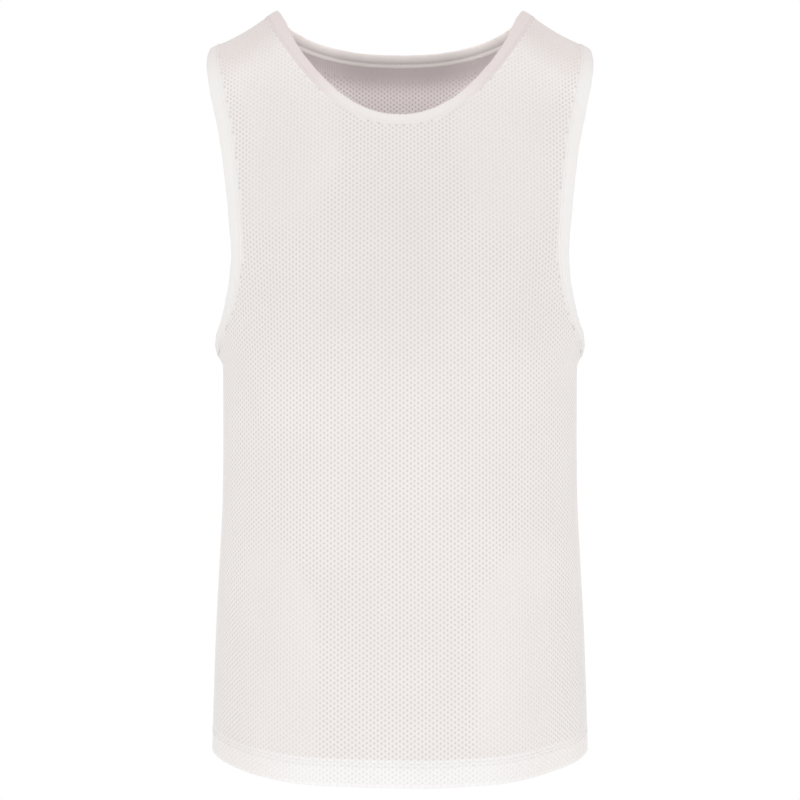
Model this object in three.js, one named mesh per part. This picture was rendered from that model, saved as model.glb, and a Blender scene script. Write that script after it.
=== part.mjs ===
// A sleeveless training bib of net cloth, filled out as it is when worn, with nothing inside it.
// Millimetres. The front faces -Y, +X is to the right as seen from the front, and +Z is up.
// The origin is midway between the two shoulders, level with the middle of each strap.
// Heights are worked out as a drop below the neck point, the high inner end of the shoulder seam,
// which is how a garment is measured.

import * as THREE from 'three';

// Main sizes of the finished garment
const LENGTH = 718; // neck point to hem
const NECK_POINT_HEIGHT = 20; // above the origin
const SHOULDER_DROP = 36.5; // from the neck point down to the shoulder's outer end
const SHOULDER_END_STEEPNESS = 0.52; // the seam falls steeply by the neck and flattens outwards
const NECK_BINDING = 9; // width
const ARMHOLE_BINDING = 12; // width
const HEM_DEPTH = 22;

// Half-widths of the panels at the shoulder seam, between the two bindings
const NECK_SEAM_X = 130;
const SHOULDER_SEAM_X = 175.5;

// Cut of the neckline: drop at the centre, and how square its curve is
const NECKLINE = {
  front: { drop: 127.5, squareness: 2.15 },
  back: { drop: 32.5, squareness: 2.43 },
};

// Cloth thickness, and the gap left at each seam
const CLOTH = 1.5;
const HEM_OUTER = 1.1;
const HEM_INNER = 1.5;
const HEM_STEP = 0.6;
const BINDING_THICKNESS = 3;
const BINDING_EDGE = 1.2;
const BINDING_ROUNDING = 1.6;
const SEAM_GAP = 0.3;

// Depth of the front and the back from the shoulder seam's plane, by drop below the seam
const DEPTHS = [
  { drop: 0, front: 0, back: 0 },
  { drop: 4, front: 19, back: 19 },
  { drop: 16, front: 36, back: 36 },
  { drop: 36, front: 51, back: 52 },
  { drop: 64, front: 64, back: 66 },
  { drop: 100, front: 75, back: 78 },
  { drop: 150, front: 87, back: 90 },
  { drop: 220, front: 103, back: 98 },
  { drop: 300, front: 114, back: 98 },
  { drop: 400, front: 118, back: 94 },
  { drop: 520, front: 121, back: 93 },
  { drop: 640, front: 127, back: 98 },
  { drop: 760, front: 136, back: 104 },
];

// Half-width of the body at the side seams, and how roundly its sections turn there, by height above the hem
const SIDES = [
  { height: 0, halfWidth: 183, turn: 1.66 },
  { height: 60, halfWidth: 181.2, turn: 1.7 },
  { height: 120, halfWidth: 178.9, turn: 1.78 },
  { height: 180, halfWidth: 175.6, turn: 1.87 },
  { height: 240, halfWidth: 172.4, turn: 1.96 },
  { height: 300, halfWidth: 171.6, turn: 2.04 },
  { height: 382, halfWidth: 171.8, turn: 2.1 },
];
const SECTION_SQUARENESS = 2.5;

// Armhole seam seen from the front: half-width of each panel, by drop below the neck point
const ARMPIT_DROP = 336;
const ARMHOLE = [
  { drop: 31, front: 175.5, back: 175.5 },
  { drop: 58, front: 173, back: 174.5 },
  { drop: 98, front: 164.6, back: 169 },
  { drop: 138, front: 156, back: 162.5 },
  { drop: 178, front: 150.4, back: 158 },
  { drop: 218, front: 146.6, back: 154.8 },
  { drop: 248, front: 145.9, back: 153.8 },
  { drop: 278, front: 150.6, back: 157.2 },
  { drop: 303, front: 159, back: 162.8 },
  { drop: 323, front: 168.2, back: 169.4 },
  { drop: 336, front: 171.8, back: 171.8 },
];
const ARMHOLE_SHARE = 0.85; // depth left at the armhole seam, as a share of the depth at the centre

// The cloth stands off at the armpit, and each binding leans a little towards its opening
const ARMPIT_FLARE = 6.8;
const ARMPIT_FLARE_DROP = 348;
const ARMPIT_FLARE_REACH = 14;
const ARMPIT_FLARE_FADE = 3;
const ARMPIT_LEAN = -0.2;
const SHOULDER_LEAN = 0.12;
const NECK_LEAN = 0.3;

// Soft folds: the line that each follows, its width, and how far it stands out (or in, if negative)
const FOLDS = {
  front: [
    { fromX: -92, fromDrop: 500, toX: -102, toDrop: 860, width: 26, height: 2.6 },
    { fromX: -44, fromDrop: 560, toX: -48, toDrop: 850, width: 22, height: -2 },
    { fromX: 22, fromDrop: 590, toX: 26, toDrop: 840, width: 22, height: 1.6 },
    { fromX: 86, fromDrop: 480, toX: 96, toDrop: 870, width: 27, height: 2.8 },
    { fromX: 134, fromDrop: 540, toX: 144, toDrop: 850, width: 16, height: -2.2 },
    { fromX: -168, fromDrop: 330, toX: -98, toDrop: 420, width: 12, height: 2.2 },
    { fromX: 168, fromDrop: 326, toX: 104, toDrop: 436, width: 13, height: 2.4 },
    { fromX: -152, fromDrop: 250, toX: -96, toDrop: 330, width: 15, height: -1.8 },
    { fromX: 150, fromDrop: 262, toX: 84, toDrop: 330, width: 14, height: -1.6 },
  ],
  back: [
    { fromX: -108, fromDrop: 500, toX: -116, toDrop: 870, width: 24, height: 3 },
    { fromX: -56, fromDrop: 540, toX: -58, toDrop: 850, width: 22, height: -2.6 },
    { fromX: -4, fromDrop: 470, toX: 2, toDrop: 880, width: 26, height: 2.8 },
    { fromX: 62, fromDrop: 550, toX: 68, toDrop: 850, width: 20, height: -2.4 },
    { fromX: 114, fromDrop: 510, toX: 124, toDrop: 860, width: 24, height: 3.2 },
    { fromX: -166, fromDrop: 334, toX: -84, toDrop: 400, width: 13, height: 2.6 },
    { fromX: 166, fromDrop: 330, toX: 92, toDrop: 414, width: 12, height: 2.2 },
    { fromX: -40, fromDrop: 250, toX: 44, toDrop: 330, width: 30, height: -2.4 },
  ],
};

// How finely the surfaces are divided
const NECK_COLUMNS = 12;
const STRAP_COLUMNS = 6;
const UPPER_ROWS = 18;
const LOWER_ROWS = 12;
const LOWER_SPACING = 1.5;
const NORMAL_STEP = 0.1;

const NET_COLOUR = 0xeeeae7;
const BINDING_COLOUR = 0xf4f1f2;

const HALF_COLUMNS = NECK_COLUMNS + STRAP_COLUMNS;
const SHOULDER_END_X = SHOULDER_SEAM_X + ARMHOLE_BINDING;
const NECK_POINT_X = NECK_SEAM_X - NECK_BINDING;

const mix = (a, b, share) => a + (b - a) * share;

function smooth(share) {
  const t = THREE.MathUtils.clamp(share, 0, 1);
  return t * t * (3 - 2 * t);
}

// A smooth curve through a table, giving column `to` for a value of column `from`
function curveThrough(table, from, to) {
  const slopes = table.map((row, i) => {
    const before = table[Math.max(i - 1, 0)];
    const after = table[Math.min(i + 1, table.length - 1)];
    return (after[to] - before[to]) / (after[from] - before[from]);
  });
  return (value) => {
    let i = 0;
    while (i < table.length - 2 && value > table[i + 1][from]) {
      i += 1;
    }
    const span = table[i + 1][from] - table[i][from];
    const t = THREE.MathUtils.clamp((value - table[i][from]) / span, 0, 1);
    const bend = t * t * (3 - 2 * t);
    const leaving = slopes[i] * span * t * (1 - t) * (1 - t);
    const arriving = slopes[i + 1] * span * t * t * (1 - t);
    return mix(table[i][to], table[i + 1][to], bend) + leaving - arriving;
  };
}

// Drop of the shoulder seam at x. Inside the neck it goes on as the crown of a rounded neck base.
function shoulderDrop(x) {
  const across = Math.abs(x);
  const seamWidth = SHOULDER_END_X - NECK_POINT_X;
  if (across < NECK_POINT_X) {
    const steepness = SHOULDER_DROP * (2 - SHOULDER_END_STEEPNESS) / seamWidth;
    const crown = steepness * NECK_POINT_X / 3;
    return -crown * (1 - (across / NECK_POINT_X) ** 3);
  }
  const left = Math.max(SHOULDER_END_X - across, 0) / seamWidth;
  return SHOULDER_DROP * (1 - left * mix(SHOULDER_END_STEEPNESS, 1, left));
}

// Depth rises as the square root of the drop just below the shoulder, so it is read off by that root
const depthTable = DEPTHS.map((row) => ({ ...row, root: Math.sqrt(row.drop) }));
const depthAtCentre = {
  front: curveThrough(depthTable, 'root', 'front'),
  back: curveThrough(depthTable, 'root', 'back'),
};
const armholeSeam = {
  front: curveThrough(ARMHOLE, 'drop', 'front'),
  back: curveThrough(ARMHOLE, 'drop', 'back'),
};
const sideSeam = curveThrough(SIDES, 'height', 'halfWidth');
const sideTurn = curveThrough(SIDES, 'height', 'turn');

// Share of the centre's depth that is left at the armhole seam: none at the armpit
function armholeShare(drop) {
  const climb = (ARMPIT_DROP - drop) / (ARMPIT_DROP - SHOULDER_DROP);
  const left = 1 - THREE.MathUtils.clamp(climb, 0, 1);
  return ARMHOLE_SHARE * Math.sqrt(1 - left ** 4);
}

// Half-width of the rounded section that a panel lies on at this drop
function sectionHalfWidth(panel, drop) {
  if (drop >= ARMPIT_DROP) {
    return sideSeam(LENGTH - drop);
  }
  const turned = 1 - armholeShare(drop) ** sideTurn(LENGTH - drop);
  return armholeSeam[panel](drop) / turned ** (1 / SECTION_SQUARENESS);
}

// How far the folds lift the cloth at x and drop
function foldHeight(panel, x, drop) {
  let height = 0;
  for (const fold of FOLDS[panel]) {
    const alongX = fold.toX - fold.fromX;
    const alongDrop = fold.toDrop - fold.fromDrop;
    const length = Math.hypot(alongX, alongDrop);
    const along = ((x - fold.fromX) * alongX + (drop - fold.fromDrop) * alongDrop) / length;
    const aside = ((x - fold.fromX) * alongDrop - (drop - fold.fromDrop) * alongX) / length;
    if (along > 0 && along < length) {
      const swell = Math.sin(Math.PI * along / length) ** 2;
      height += fold.height * swell * Math.exp(-((aside / fold.width) ** 2));
    }
  }
  return height;
}

// A point of the cloth's middle surface
function clothPoint(panel, x, drop) {
  const root = Math.sqrt(Math.max(drop - shoulderDrop(x), 0));
  const across = Math.min(Math.abs(x) / sectionHalfWidth(panel, drop), 1);
  const share = (1 - across ** SECTION_SQUARENESS) ** (1 / sideTurn(LENGTH - drop));
  const fold = foldHeight(panel, x, drop) * smooth(share / 0.6) * smooth(root / 8);
  const depth = Math.max(depthAtCentre[panel](root) * share + fold, SEAM_GAP / 2);
  const flare = ARMPIT_FLARE * smooth((ARMPIT_FLARE_DROP - drop) / ARMPIT_FLARE_REACH);
  const side = panel === 'front' ? -1 : 1;
  return new THREE.Vector3(
    x + Math.sign(x) * flare * (1 - share) ** ARMPIT_FLARE_FADE,
    side * depth,
    NECK_POINT_HEIGHT - drop,
  );
}

// Half-width of a panel's cut at this drop
function panelHalfWidth(panel, drop) {
  return drop < ARMPIT_DROP ? armholeSeam[panel](drop) : sideSeam(LENGTH - drop);
}

// x of grid column k: closer together by the neck's corner above, and by the side seam below
function columnX(panel, k, drop) {
  const count = Math.abs(k);
  const neckShare = NECK_SEAM_X / SHOULDER_SEAM_X;
  const above = count <= NECK_COLUMNS
    ? neckShare * Math.sin(Math.PI / 2 * count / NECK_COLUMNS)
    : mix(neckShare, 1, (count - NECK_COLUMNS) / STRAP_COLUMNS);
  const below = Math.sin(Math.PI / 2 * count / HALF_COLUMNS);
  const blend = smooth((drop - SHOULDER_DROP) / (ARMPIT_DROP - SHOULDER_DROP));
  return Math.sign(k) * panelHalfWidth(panel, drop) * mix(above, below, blend);
}

// Drop at which column k starts: on the neckline, or on the shoulder seam
function columnTop(panel, k) {
  const line = NECKLINE[panel];
  const corner = shoulderDrop(NECK_SEAM_X);
  let drop = corner;
  for (let pass = 0; pass < 40; pass += 1) {
    const x = Math.abs(columnX(panel, k, drop));
    if (Math.abs(k) >= NECK_COLUMNS) {
      drop = shoulderDrop(x);
    } else {
      drop = mix(line.drop, corner, (x / NECK_SEAM_X) ** line.squareness);
    }
  }
  return drop;
}

// Drops of the rows down column k, from its top to the hem
function rowDrops(panel, k) {
  const top = columnTop(panel, k);
  const clearance = top - shoulderDrop(columnX(panel, k, top));
  const start = 1 + Math.exp(-clearance / 15);
  const end = 1 + (Math.abs(k) / HALF_COLUMNS) ** 4;
  const drops = [];
  for (let row = 0; row <= UPPER_ROWS; row += 1) {
    const t = row / UPPER_ROWS;
    const share = (1 - t) * t ** start + t * (1 - (1 - t) ** end);
    drops.push(mix(top, ARMPIT_DROP, share));
  }
  const hemTop = LENGTH - HEM_DEPTH;
  for (let row = 1; row <= LOWER_ROWS; row += 1) {
    const share = (row / LOWER_ROWS) ** LOWER_SPACING;
    drops.push(mix(ARMPIT_DROP, hemTop, share));
  }
  drops.push(hemTop + HEM_STEP, LENGTH);
  return drops;
}

// Outward normal of the cloth where column k has this drop. At the seams it has no part along Y.
function clothNormal(panel, k, drop, onSeam) {
  const x = columnX(panel, k, drop);
  const limit = panelHalfWidth(panel, drop);
  const clearance = Math.max(drop - shoulderDrop(x), 0);
  const beside = (shift) => {
    const aside = THREE.MathUtils.clamp(x + shift, -limit, limit);
    return clothPoint(panel, aside, shoulderDrop(aside) + clearance);
  };
  const below = (shift) => clothPoint(panel, columnX(panel, k, drop + shift), drop + shift);
  const across = beside(NORMAL_STEP).sub(beside(-NORMAL_STEP));
  const down = below(NORMAL_STEP).sub(below(0));
  const normal = down.cross(across).multiplyScalar(panel === 'front' ? 1 : -1);
  if (onSeam) {
    normal.y = 0;
  }
  return normal.normalize();
}

// The grid of middle-surface points of a panel, with the outward normal at each
function panelGrid(panel) {
  const grid = [];
  for (let k = -HALF_COLUMNS; k <= HALF_COLUMNS; k += 1) {
    grid.push(rowDrops(panel, k).map((drop, row) => {
      const onShoulderSeam = row === 0 && Math.abs(k) >= NECK_COLUMNS;
      const onSideSeam = row >= UPPER_ROWS && Math.abs(k) === HALF_COLUMNS;
      return {
        point: clothPoint(panel, columnX(panel, k, drop), drop),
        normal: clothNormal(panel, k, drop, onShoulderSeam || onSideSeam),
      };
    }));
  }
  return grid;
}

// A closed mesh from points and faces that may have any number of corners
function solid(name, points, faces, material) {
  const corners = [];
  for (const face of faces) {
    for (let i = 1; i < face.length - 1; i += 1) {
      corners.push(face[0], face[i], face[i + 1]);
    }
  }
  const geometry = new THREE.BufferGeometry();
  const places = points.flatMap((point) => point.toArray());
  geometry.setAttribute('position', new THREE.Float32BufferAttribute(places, 3));
  geometry.setIndex(corners);
  geometry.computeVertexNormals();
  const mesh = new THREE.Mesh(geometry, material);
  mesh.name = name;
  return mesh;
}

// A panel: a wall of cloth round its grid, thicker where the hem is turned up
function panelSolid(panel, grid, material) {
  const columns = grid.length;
  const rows = grid[0].length;
  const hemRows = 2;
  const points = [];
  for (const face of ['outer', 'inner']) {
    for (const column of grid) {
      column.forEach(({ point, normal }, r) => {
        const inHem = r >= rows - hemRows;
        const outer = inHem ? HEM_OUTER : CLOTH / 2;
        const inner = inHem ? HEM_INNER : CLOTH / 2;
        points.push(point.clone().addScaledVector(normal, face === 'outer' ? outer : -inner));
      });
    }
  }
  const outerAt = (c, r) => c * rows + r;
  const innerAt = (c, r) => columns * rows + outerAt(c, r);
  const faces = [];
  for (let c = 0; c < columns - 1; c += 1) {
    for (let r = 0; r < rows - 1; r += 1) {
      faces.push([outerAt(c, r), outerAt(c, r + 1), outerAt(c + 1, r + 1), outerAt(c + 1, r)]);
      faces.push([innerAt(c, r), innerAt(c + 1, r), innerAt(c + 1, r + 1), innerAt(c, r + 1)]);
    }
    faces.push([outerAt(c, 0), outerAt(c + 1, 0), innerAt(c + 1, 0), innerAt(c, 0)]);
    faces.push([
      outerAt(c, rows - 1), innerAt(c, rows - 1), innerAt(c + 1, rows - 1), outerAt(c + 1, rows - 1),
    ]);
  }
  for (let r = 0; r < rows - 1; r += 1) {
    faces.push([outerAt(0, r), innerAt(0, r), innerAt(0, r + 1), outerAt(0, r + 1)]);
    faces.push([
      outerAt(columns - 1, r), outerAt(columns - 1, r + 1),
      innerAt(columns - 1, r + 1), innerAt(columns - 1, r),
    ]);
  }
  if (panel === 'back') {
    faces.forEach((face) => face.reverse());
  }
  return solid(`${panel}_panel`, points, faces, material);
}

// The loop along which a binding is sewn: the front's edge, then the back's, met at the seams
function seamLoop(frontEdge, backEdge) {
  const joined = (a, b) => ({
    point: a.point.clone().lerp(b.point, 0.5),
    normal: a.normal.clone().add(b.normal).normalize(),
    inside: a.inside.clone().lerp(b.inside, 0.5),
  });
  const last = frontEdge.length - 1;
  const back = [...backEdge].reverse();
  return [
    joined(frontEdge[0], back[last]),
    ...frontEdge.slice(1, last),
    joined(frontEdge[last], back[0]),
    ...back.slice(1, last),
  ];
}

// A binding: a closed band that carries the cloth on past the panels' edge, rounded at its free edge
function bindingSolid(name, loop, width, leanAt, material) {
  const half = BINDING_THICKNESS / 2;
  const section = [
    { out: SEAM_GAP, up: -half },
    { out: SEAM_GAP, up: half },
    { out: width - BINDING_ROUNDING, up: half },
    { out: width, up: BINDING_EDGE / 2 },
    { out: width, up: -BINDING_EDGE / 2 },
    { out: width - BINDING_ROUNDING, up: -half },
  ];
  const points = [];
  loop.forEach((station, i) => {
    const before = loop[(i + loop.length - 1) % loop.length].point;
    const after = loop[(i + 1) % loop.length].point;
    const along = after.clone().sub(before).normalize();
    const out = along.clone().cross(station.normal).normalize();
    if (out.dot(station.inside.clone().sub(station.point)) > 0) {
      out.negate();
    }
    const lean = leanAt(station.point);
    for (const { out: reach, up } of section) {
      const point = station.point.clone();
      point.addScaledVector(out, reach);
      point.addScaledVector(station.normal, up + lean * Math.max(reach - SEAM_GAP, 0));
      points.push(point);
    }
  });
  const faces = [];
  const sides = section.length;
  for (let i = 0; i < loop.length; i += 1) {
    const next = (i + 1) % loop.length;
    for (let s = 0; s < sides; s += 1) {
      const t = (s + 1) % sides;
      faces.push([i * sides + s, i * sides + t, next * sides + t, next * sides + s]);
    }
  }
  const ring = solid(name, points, faces, material);
  if (signedVolume(ring.geometry) < 0) {
    faces.forEach((face) => face.reverse());
    return solid(name, points, faces, material);
  }
  return ring;
}

function signedVolume(geometry) {
  const place = geometry.getAttribute('position');
  const index = geometry.getIndex();
  const corner = (i) => new THREE.Vector3().fromBufferAttribute(place, index.getX(i));
  let volume = 0;
  for (let i = 0; i < index.count; i += 3) {
    volume += corner(i).dot(corner(i + 1).cross(corner(i + 2))) / 6;
  }
  return volume;
}

// Edge of a panel with, for each point, a neighbour that lies inside the panel
function armholeEdge(grid, right) {
  const edge = right ? grid[grid.length - 1] : grid[0];
  const next = right ? grid[grid.length - 2] : grid[1];
  return edge.slice(0, UPPER_ROWS + 1).map((station, r) => ({
    ...station,
    inside: r < UPPER_ROWS ? next[r].point : edge[r + 1].point,
  }));
}

function neckEdge(grid) {
  const first = HALF_COLUMNS - NECK_COLUMNS;
  const last = HALF_COLUMNS + NECK_COLUMNS;
  return grid.slice(first, last + 1).map((column, c) => {
    const atCorner = c === 0 || c === last - first;
    const beside = c === 0 ? grid[first - 1][0] : grid[last + 1][0];
    return { ...column[0], inside: atCorner ? beside.point : column[1].point };
  });
}

// Outward lean of an armhole's binding: out at the armpit, in over the shoulder
function armholeLean(point) {
  const drop = NECK_POINT_HEIGHT - point.z;
  const atArmpit = (1 - armholeShare(drop) / ARMHOLE_SHARE) ** 2;
  const atShoulder = 1 - smooth((drop - SHOULDER_DROP) / ARMHOLE_BINDING / 3);
  return ARMPIT_LEAN * atArmpit - SHOULDER_LEAN * atShoulder;
}

// Inward lean of the neck's binding, over the shoulder only
function neckLean(point) {
  const drop = NECK_POINT_HEIGHT - point.z;
  return -NECK_LEAN * (1 - smooth(drop / NECK_BINDING / 4));
}

function makeBib() {
  const net = new THREE.MeshStandardMaterial({ color: NET_COLOUR, roughness: 0.9, metalness: 0 });
  const rib = new THREE.MeshStandardMaterial({ color: BINDING_COLOUR, roughness: 0.85, metalness: 0 });
  const front = panelGrid('front');
  const back = panelGrid('back');
  const bib = new THREE.Group();
  bib.add(panelSolid('front', front, net));
  bib.add(panelSolid('back', back, net));
  const neckLoop = seamLoop(neckEdge(front), neckEdge(back));
  bib.add(bindingSolid('neck_binding', neckLoop, NECK_BINDING, neckLean, rib));
  for (const [side, right] of [['left', true], ['right', false]]) {
    const loop = seamLoop(armholeEdge(front, right), armholeEdge(back, right));
    const name = `armhole_binding_${side}`;
    bib.add(bindingSolid(name, loop, ARMHOLE_BINDING, armholeLean, rib));
  }
  return bib;
}

export default makeBib();
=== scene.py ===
import math

import bpy
import numpy as np
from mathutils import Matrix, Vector


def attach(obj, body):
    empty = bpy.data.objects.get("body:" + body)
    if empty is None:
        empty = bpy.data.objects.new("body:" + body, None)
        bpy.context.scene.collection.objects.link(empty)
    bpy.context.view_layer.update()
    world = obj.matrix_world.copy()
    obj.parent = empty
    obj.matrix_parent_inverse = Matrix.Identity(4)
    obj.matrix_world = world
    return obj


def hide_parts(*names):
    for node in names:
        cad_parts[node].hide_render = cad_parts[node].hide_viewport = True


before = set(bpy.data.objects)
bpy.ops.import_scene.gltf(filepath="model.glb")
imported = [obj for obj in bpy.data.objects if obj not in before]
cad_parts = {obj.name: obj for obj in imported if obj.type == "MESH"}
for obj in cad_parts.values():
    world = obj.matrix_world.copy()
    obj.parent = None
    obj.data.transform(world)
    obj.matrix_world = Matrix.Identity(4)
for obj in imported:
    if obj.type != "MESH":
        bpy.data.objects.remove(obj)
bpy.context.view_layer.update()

# A sleeveless training bib of net cloth, filled out as it is when worn. Sizes below are in millimetres
# and are turned into metres where a mesh is made. The front faces -Y and +Z is up. Heights are worked
# out as a drop below the neck point, the high inner end of the shoulder seam.

# cut of the garment

LENGTH = 718
NECK_POINT_HEIGHT = 20
SHOULDER_DROP = 36.5
SHOULDER_END_STEEPNESS = 0.52
NECK_BINDING = 9
ARMHOLE_BINDING = 12
HEM_DEPTH = 22
NECK_SEAM_X = 130
SHOULDER_SEAM_X = 175.5
ARMPIT_DROP = 336
ARMHOLE_SHARE = 0.85
ARMPIT_FLARE, ARMPIT_FLARE_DROP, ARMPIT_FLARE_REACH, ARMPIT_FLARE_FADE = 6.0, 348, 14, 3
ARMPIT_LEAN, SHOULDER_LEAN, NECK_LEAN = -0.2, 0.12, 0.12
SECTION_SQUARENESS = 2.5
SEAM_GAP = 0.16
RIPPLE = 0.22
FOLD_FADE_SIDE, FOLD_FADE_TOP = 0.6, 8
SHOULDER_END_X = SHOULDER_SEAM_X + ARMHOLE_BINDING
NECK_POINT_X = NECK_SEAM_X - NECK_BINDING

NECKLINE = {"front": (127.5, 2.15), "back": (32.5, 2.43)}  # drop at the centre, squareness

# drop below the shoulder seam, depth of the front, depth of the back
DEPTHS = [
    (0, 0, 0), (4, 19, 19), (16, 36, 36), (36, 51, 52), (64, 64, 66), (100, 75, 78),
    (150, 87, 90), (220, 103, 98), (300, 114, 98), (400, 118, 94), (520, 121, 93),
    (640, 127, 98), (760, 136, 104),
]
# height above the hem, half-width at the side seams, how roundly the section turns there
SIDES = [
    (0, 183, 1.66), (60, 181.2, 1.7), (120, 178.9, 1.78), (180, 175.6, 1.87),
    (240, 172.4, 1.96), (300, 171.6, 2.04), (382, 171.8, 2.1),
]
# drop, half-width of the front and of the back at the armhole seam
ARMHOLE = [
    (31, 175.5, 175.5), (58, 173, 174.5), (98, 164.6, 169), (138, 156, 162.5),
    (178, 150.4, 158), (218, 146.6, 154.8), (248, 145.9, 153.8), (278, 150.6, 157.2),
    (303, 159, 162.8), (323, 168.2, 169.4), (336, 171.8, 171.8),
]
# Soft folds: the line that each follows (x and drop at both ends), its width and its height
FOLDS = {
    "front": [
        (-92, 500, -102, 860, 26, 2.6), (-44, 560, -48, 850, 22, -2),
        (22, 590, 26, 840, 22, 1.6), (86, 480, 96, 870, 27, 2.8),
        (134, 540, 144, 850, 16, -2.2), (-168, 330, -98, 420, 12, 2.2),
        (168, 326, 104, 436, 13, 2.4), (-152, 250, -96, 330, 15, -1.8),
        (150, 262, 84, 330, 14, -1.6),
    ],
    "back": [
        (-108, 500, -116, 870, 24, 3), (-56, 540, -58, 850, 22, -2.6),
        (-4, 470, 2, 880, 26, 2.8), (62, 550, 68, 850, 20, -2.4),
        (114, 510, 124, 860, 24, 3.2), (-166, 334, -84, 400, 13, 2.6),
        (166, 330, 92, 414, 12, 2.2), (-40, 250, 44, 330, 30, -2.4),
    ],
}
# Finer creases of the cloth alone, in the same form
CREASES = {
    "front": [
        (-160, 306, -118, 392, 6, 0.9), (162, 300, 126, 384, 6, 1.0), (158, 334, 96, 470, 8, -0.8),
        (-162, 340, -110, 452, 7, -0.9), (-128, 60, -150, 150, 7, 0.7), (132, 66, 156, 172, 6, 0.6),
        (-120, 430, -70, 560, 12, 0.7), (112, 450, 74, 590, 11, 0.6), (-20, 150, 18, 260, 16, 0.6),
        (60, 620, 64, 800, 9, -0.8), (-128, 600, -134, 800, 9, 0.9), (-8, 640, -10, 790, 8, -0.6),
    ],
    "back": [
        (-158, 316, -100, 382, 6, 1.0), (160, 310, 112, 398, 7, 0.9), (-150, 352, -70, 450, 9, -0.8),
        (154, 348, 88, 462, 8, -0.9), (-84, 170, 70, 214, 12, 0.8), (-60, 118, 96, 142, 9, -0.5),
        (-132, 560, -140, 800, 9, 0.9), (30, 600, 34, 800, 10, -0.9), (90, 590, 92, 790, 8, 0.7),
        (-30, 380, 26, 470, 14, 0.7),
    ],
}


def curve_through(rows):
    """A smooth curve through (from, to) rows, held level past its ends."""
    xs, ys = np.array(rows, float).T
    order = np.arange(len(xs))
    before, after = np.maximum(order - 1, 0), np.minimum(order + 1, len(xs) - 1)
    slopes = (ys[after] - ys[before]) / (xs[after] - xs[before])

    def curve(value):
        value = np.asarray(value, float)
        i = np.clip(np.searchsorted(xs, value) - 1, 0, len(xs) - 2)
        span = xs[i + 1] - xs[i]
        t = np.clip((value - xs[i]) / span, 0, 1)
        bend = t * t * (3 - 2 * t)
        leaving = slopes[i] * span * t * (1 - t) ** 2
        arriving = slopes[i + 1] * span * t * t * (1 - t)
        return ys[i] + (ys[i + 1] - ys[i]) * bend + leaving - arriving

    return curve


def smooth(share):
    """Rises gently from 0 to 1 as share does."""
    t = np.clip(share, 0, 1)
    return t * t * (3 - 2 * t)


def hump(value, middle, width):
    return np.exp(-(((value - middle) / width) ** 2))


depth_at_centre = {
    "front": curve_through([(math.sqrt(drop), front) for drop, front, _ in DEPTHS]),
    "back": curve_through([(math.sqrt(drop), back) for drop, _, back in DEPTHS]),
}
armhole_seam = {
    "front": curve_through([(drop, front) for drop, front, _ in ARMHOLE]),
    "back": curve_through([(drop, back) for drop, _, back in ARMHOLE]),
}
side_seam = curve_through([(height, width) for height, width, _ in SIDES])
side_turn = curve_through([(height, turn) for height, _, turn in SIDES])


def shoulder_drop(x):
    across = np.abs(x)
    width = SHOULDER_END_X - NECK_POINT_X
    crown = SHOULDER_DROP * (2 - SHOULDER_END_STEEPNESS) / width * NECK_POINT_X / 3
    inner = -crown * (1 - np.minimum(across / NECK_POINT_X, 1) ** 3)
    left = np.clip((SHOULDER_END_X - across) / width, 0, 1)
    outer = SHOULDER_DROP * (1 - left * (SHOULDER_END_STEEPNESS + (1 - SHOULDER_END_STEEPNESS) * left))
    return np.where(across < NECK_POINT_X, inner, outer)


def armhole_share(drop):
    left = 1 - np.clip((ARMPIT_DROP - drop) / (ARMPIT_DROP - SHOULDER_DROP), 0, 1)
    return ARMHOLE_SHARE * np.sqrt(1 - left ** 4)


def section_half_width(panel, drop):
    turned = 1 - armhole_share(drop) ** side_turn(LENGTH - drop)
    above = armhole_seam[panel](drop) / turned ** (1 / SECTION_SQUARENESS)
    return np.where(drop >= ARMPIT_DROP, side_seam(LENGTH - drop), above)


def panel_half_width(panel, drop):
    return np.where(drop < ARMPIT_DROP, armhole_seam[panel](drop), side_seam(LENGTH - drop))


def neckline_drop(panel, x):
    """Upper edge of a panel at x: the neckline, then the shoulder seam."""
    drop, squareness = NECKLINE[panel]
    corner = shoulder_drop(NECK_SEAM_X)
    share = np.minimum(np.abs(x) / NECK_SEAM_X, 1) ** squareness
    return np.where(np.abs(x) < NECK_SEAM_X, drop + (corner - drop) * share, shoulder_drop(x))


def fold_height(folds, x, drop):
    height = 0
    for from_x, from_drop, to_x, to_drop, width, rise in folds:
        along_x, along_drop = to_x - from_x, to_drop - from_drop
        length = math.hypot(along_x, along_drop)
        along = ((x - from_x) * along_x + (drop - from_drop) * along_drop) / length
        aside = ((x - from_x) * along_drop - (drop - from_drop) * along_x) / length
        swell = np.sin(np.pi * np.clip(along / length, 0, 1)) ** 2
        height = height + rise * swell * hump(aside, 0, width)
    return height


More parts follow.
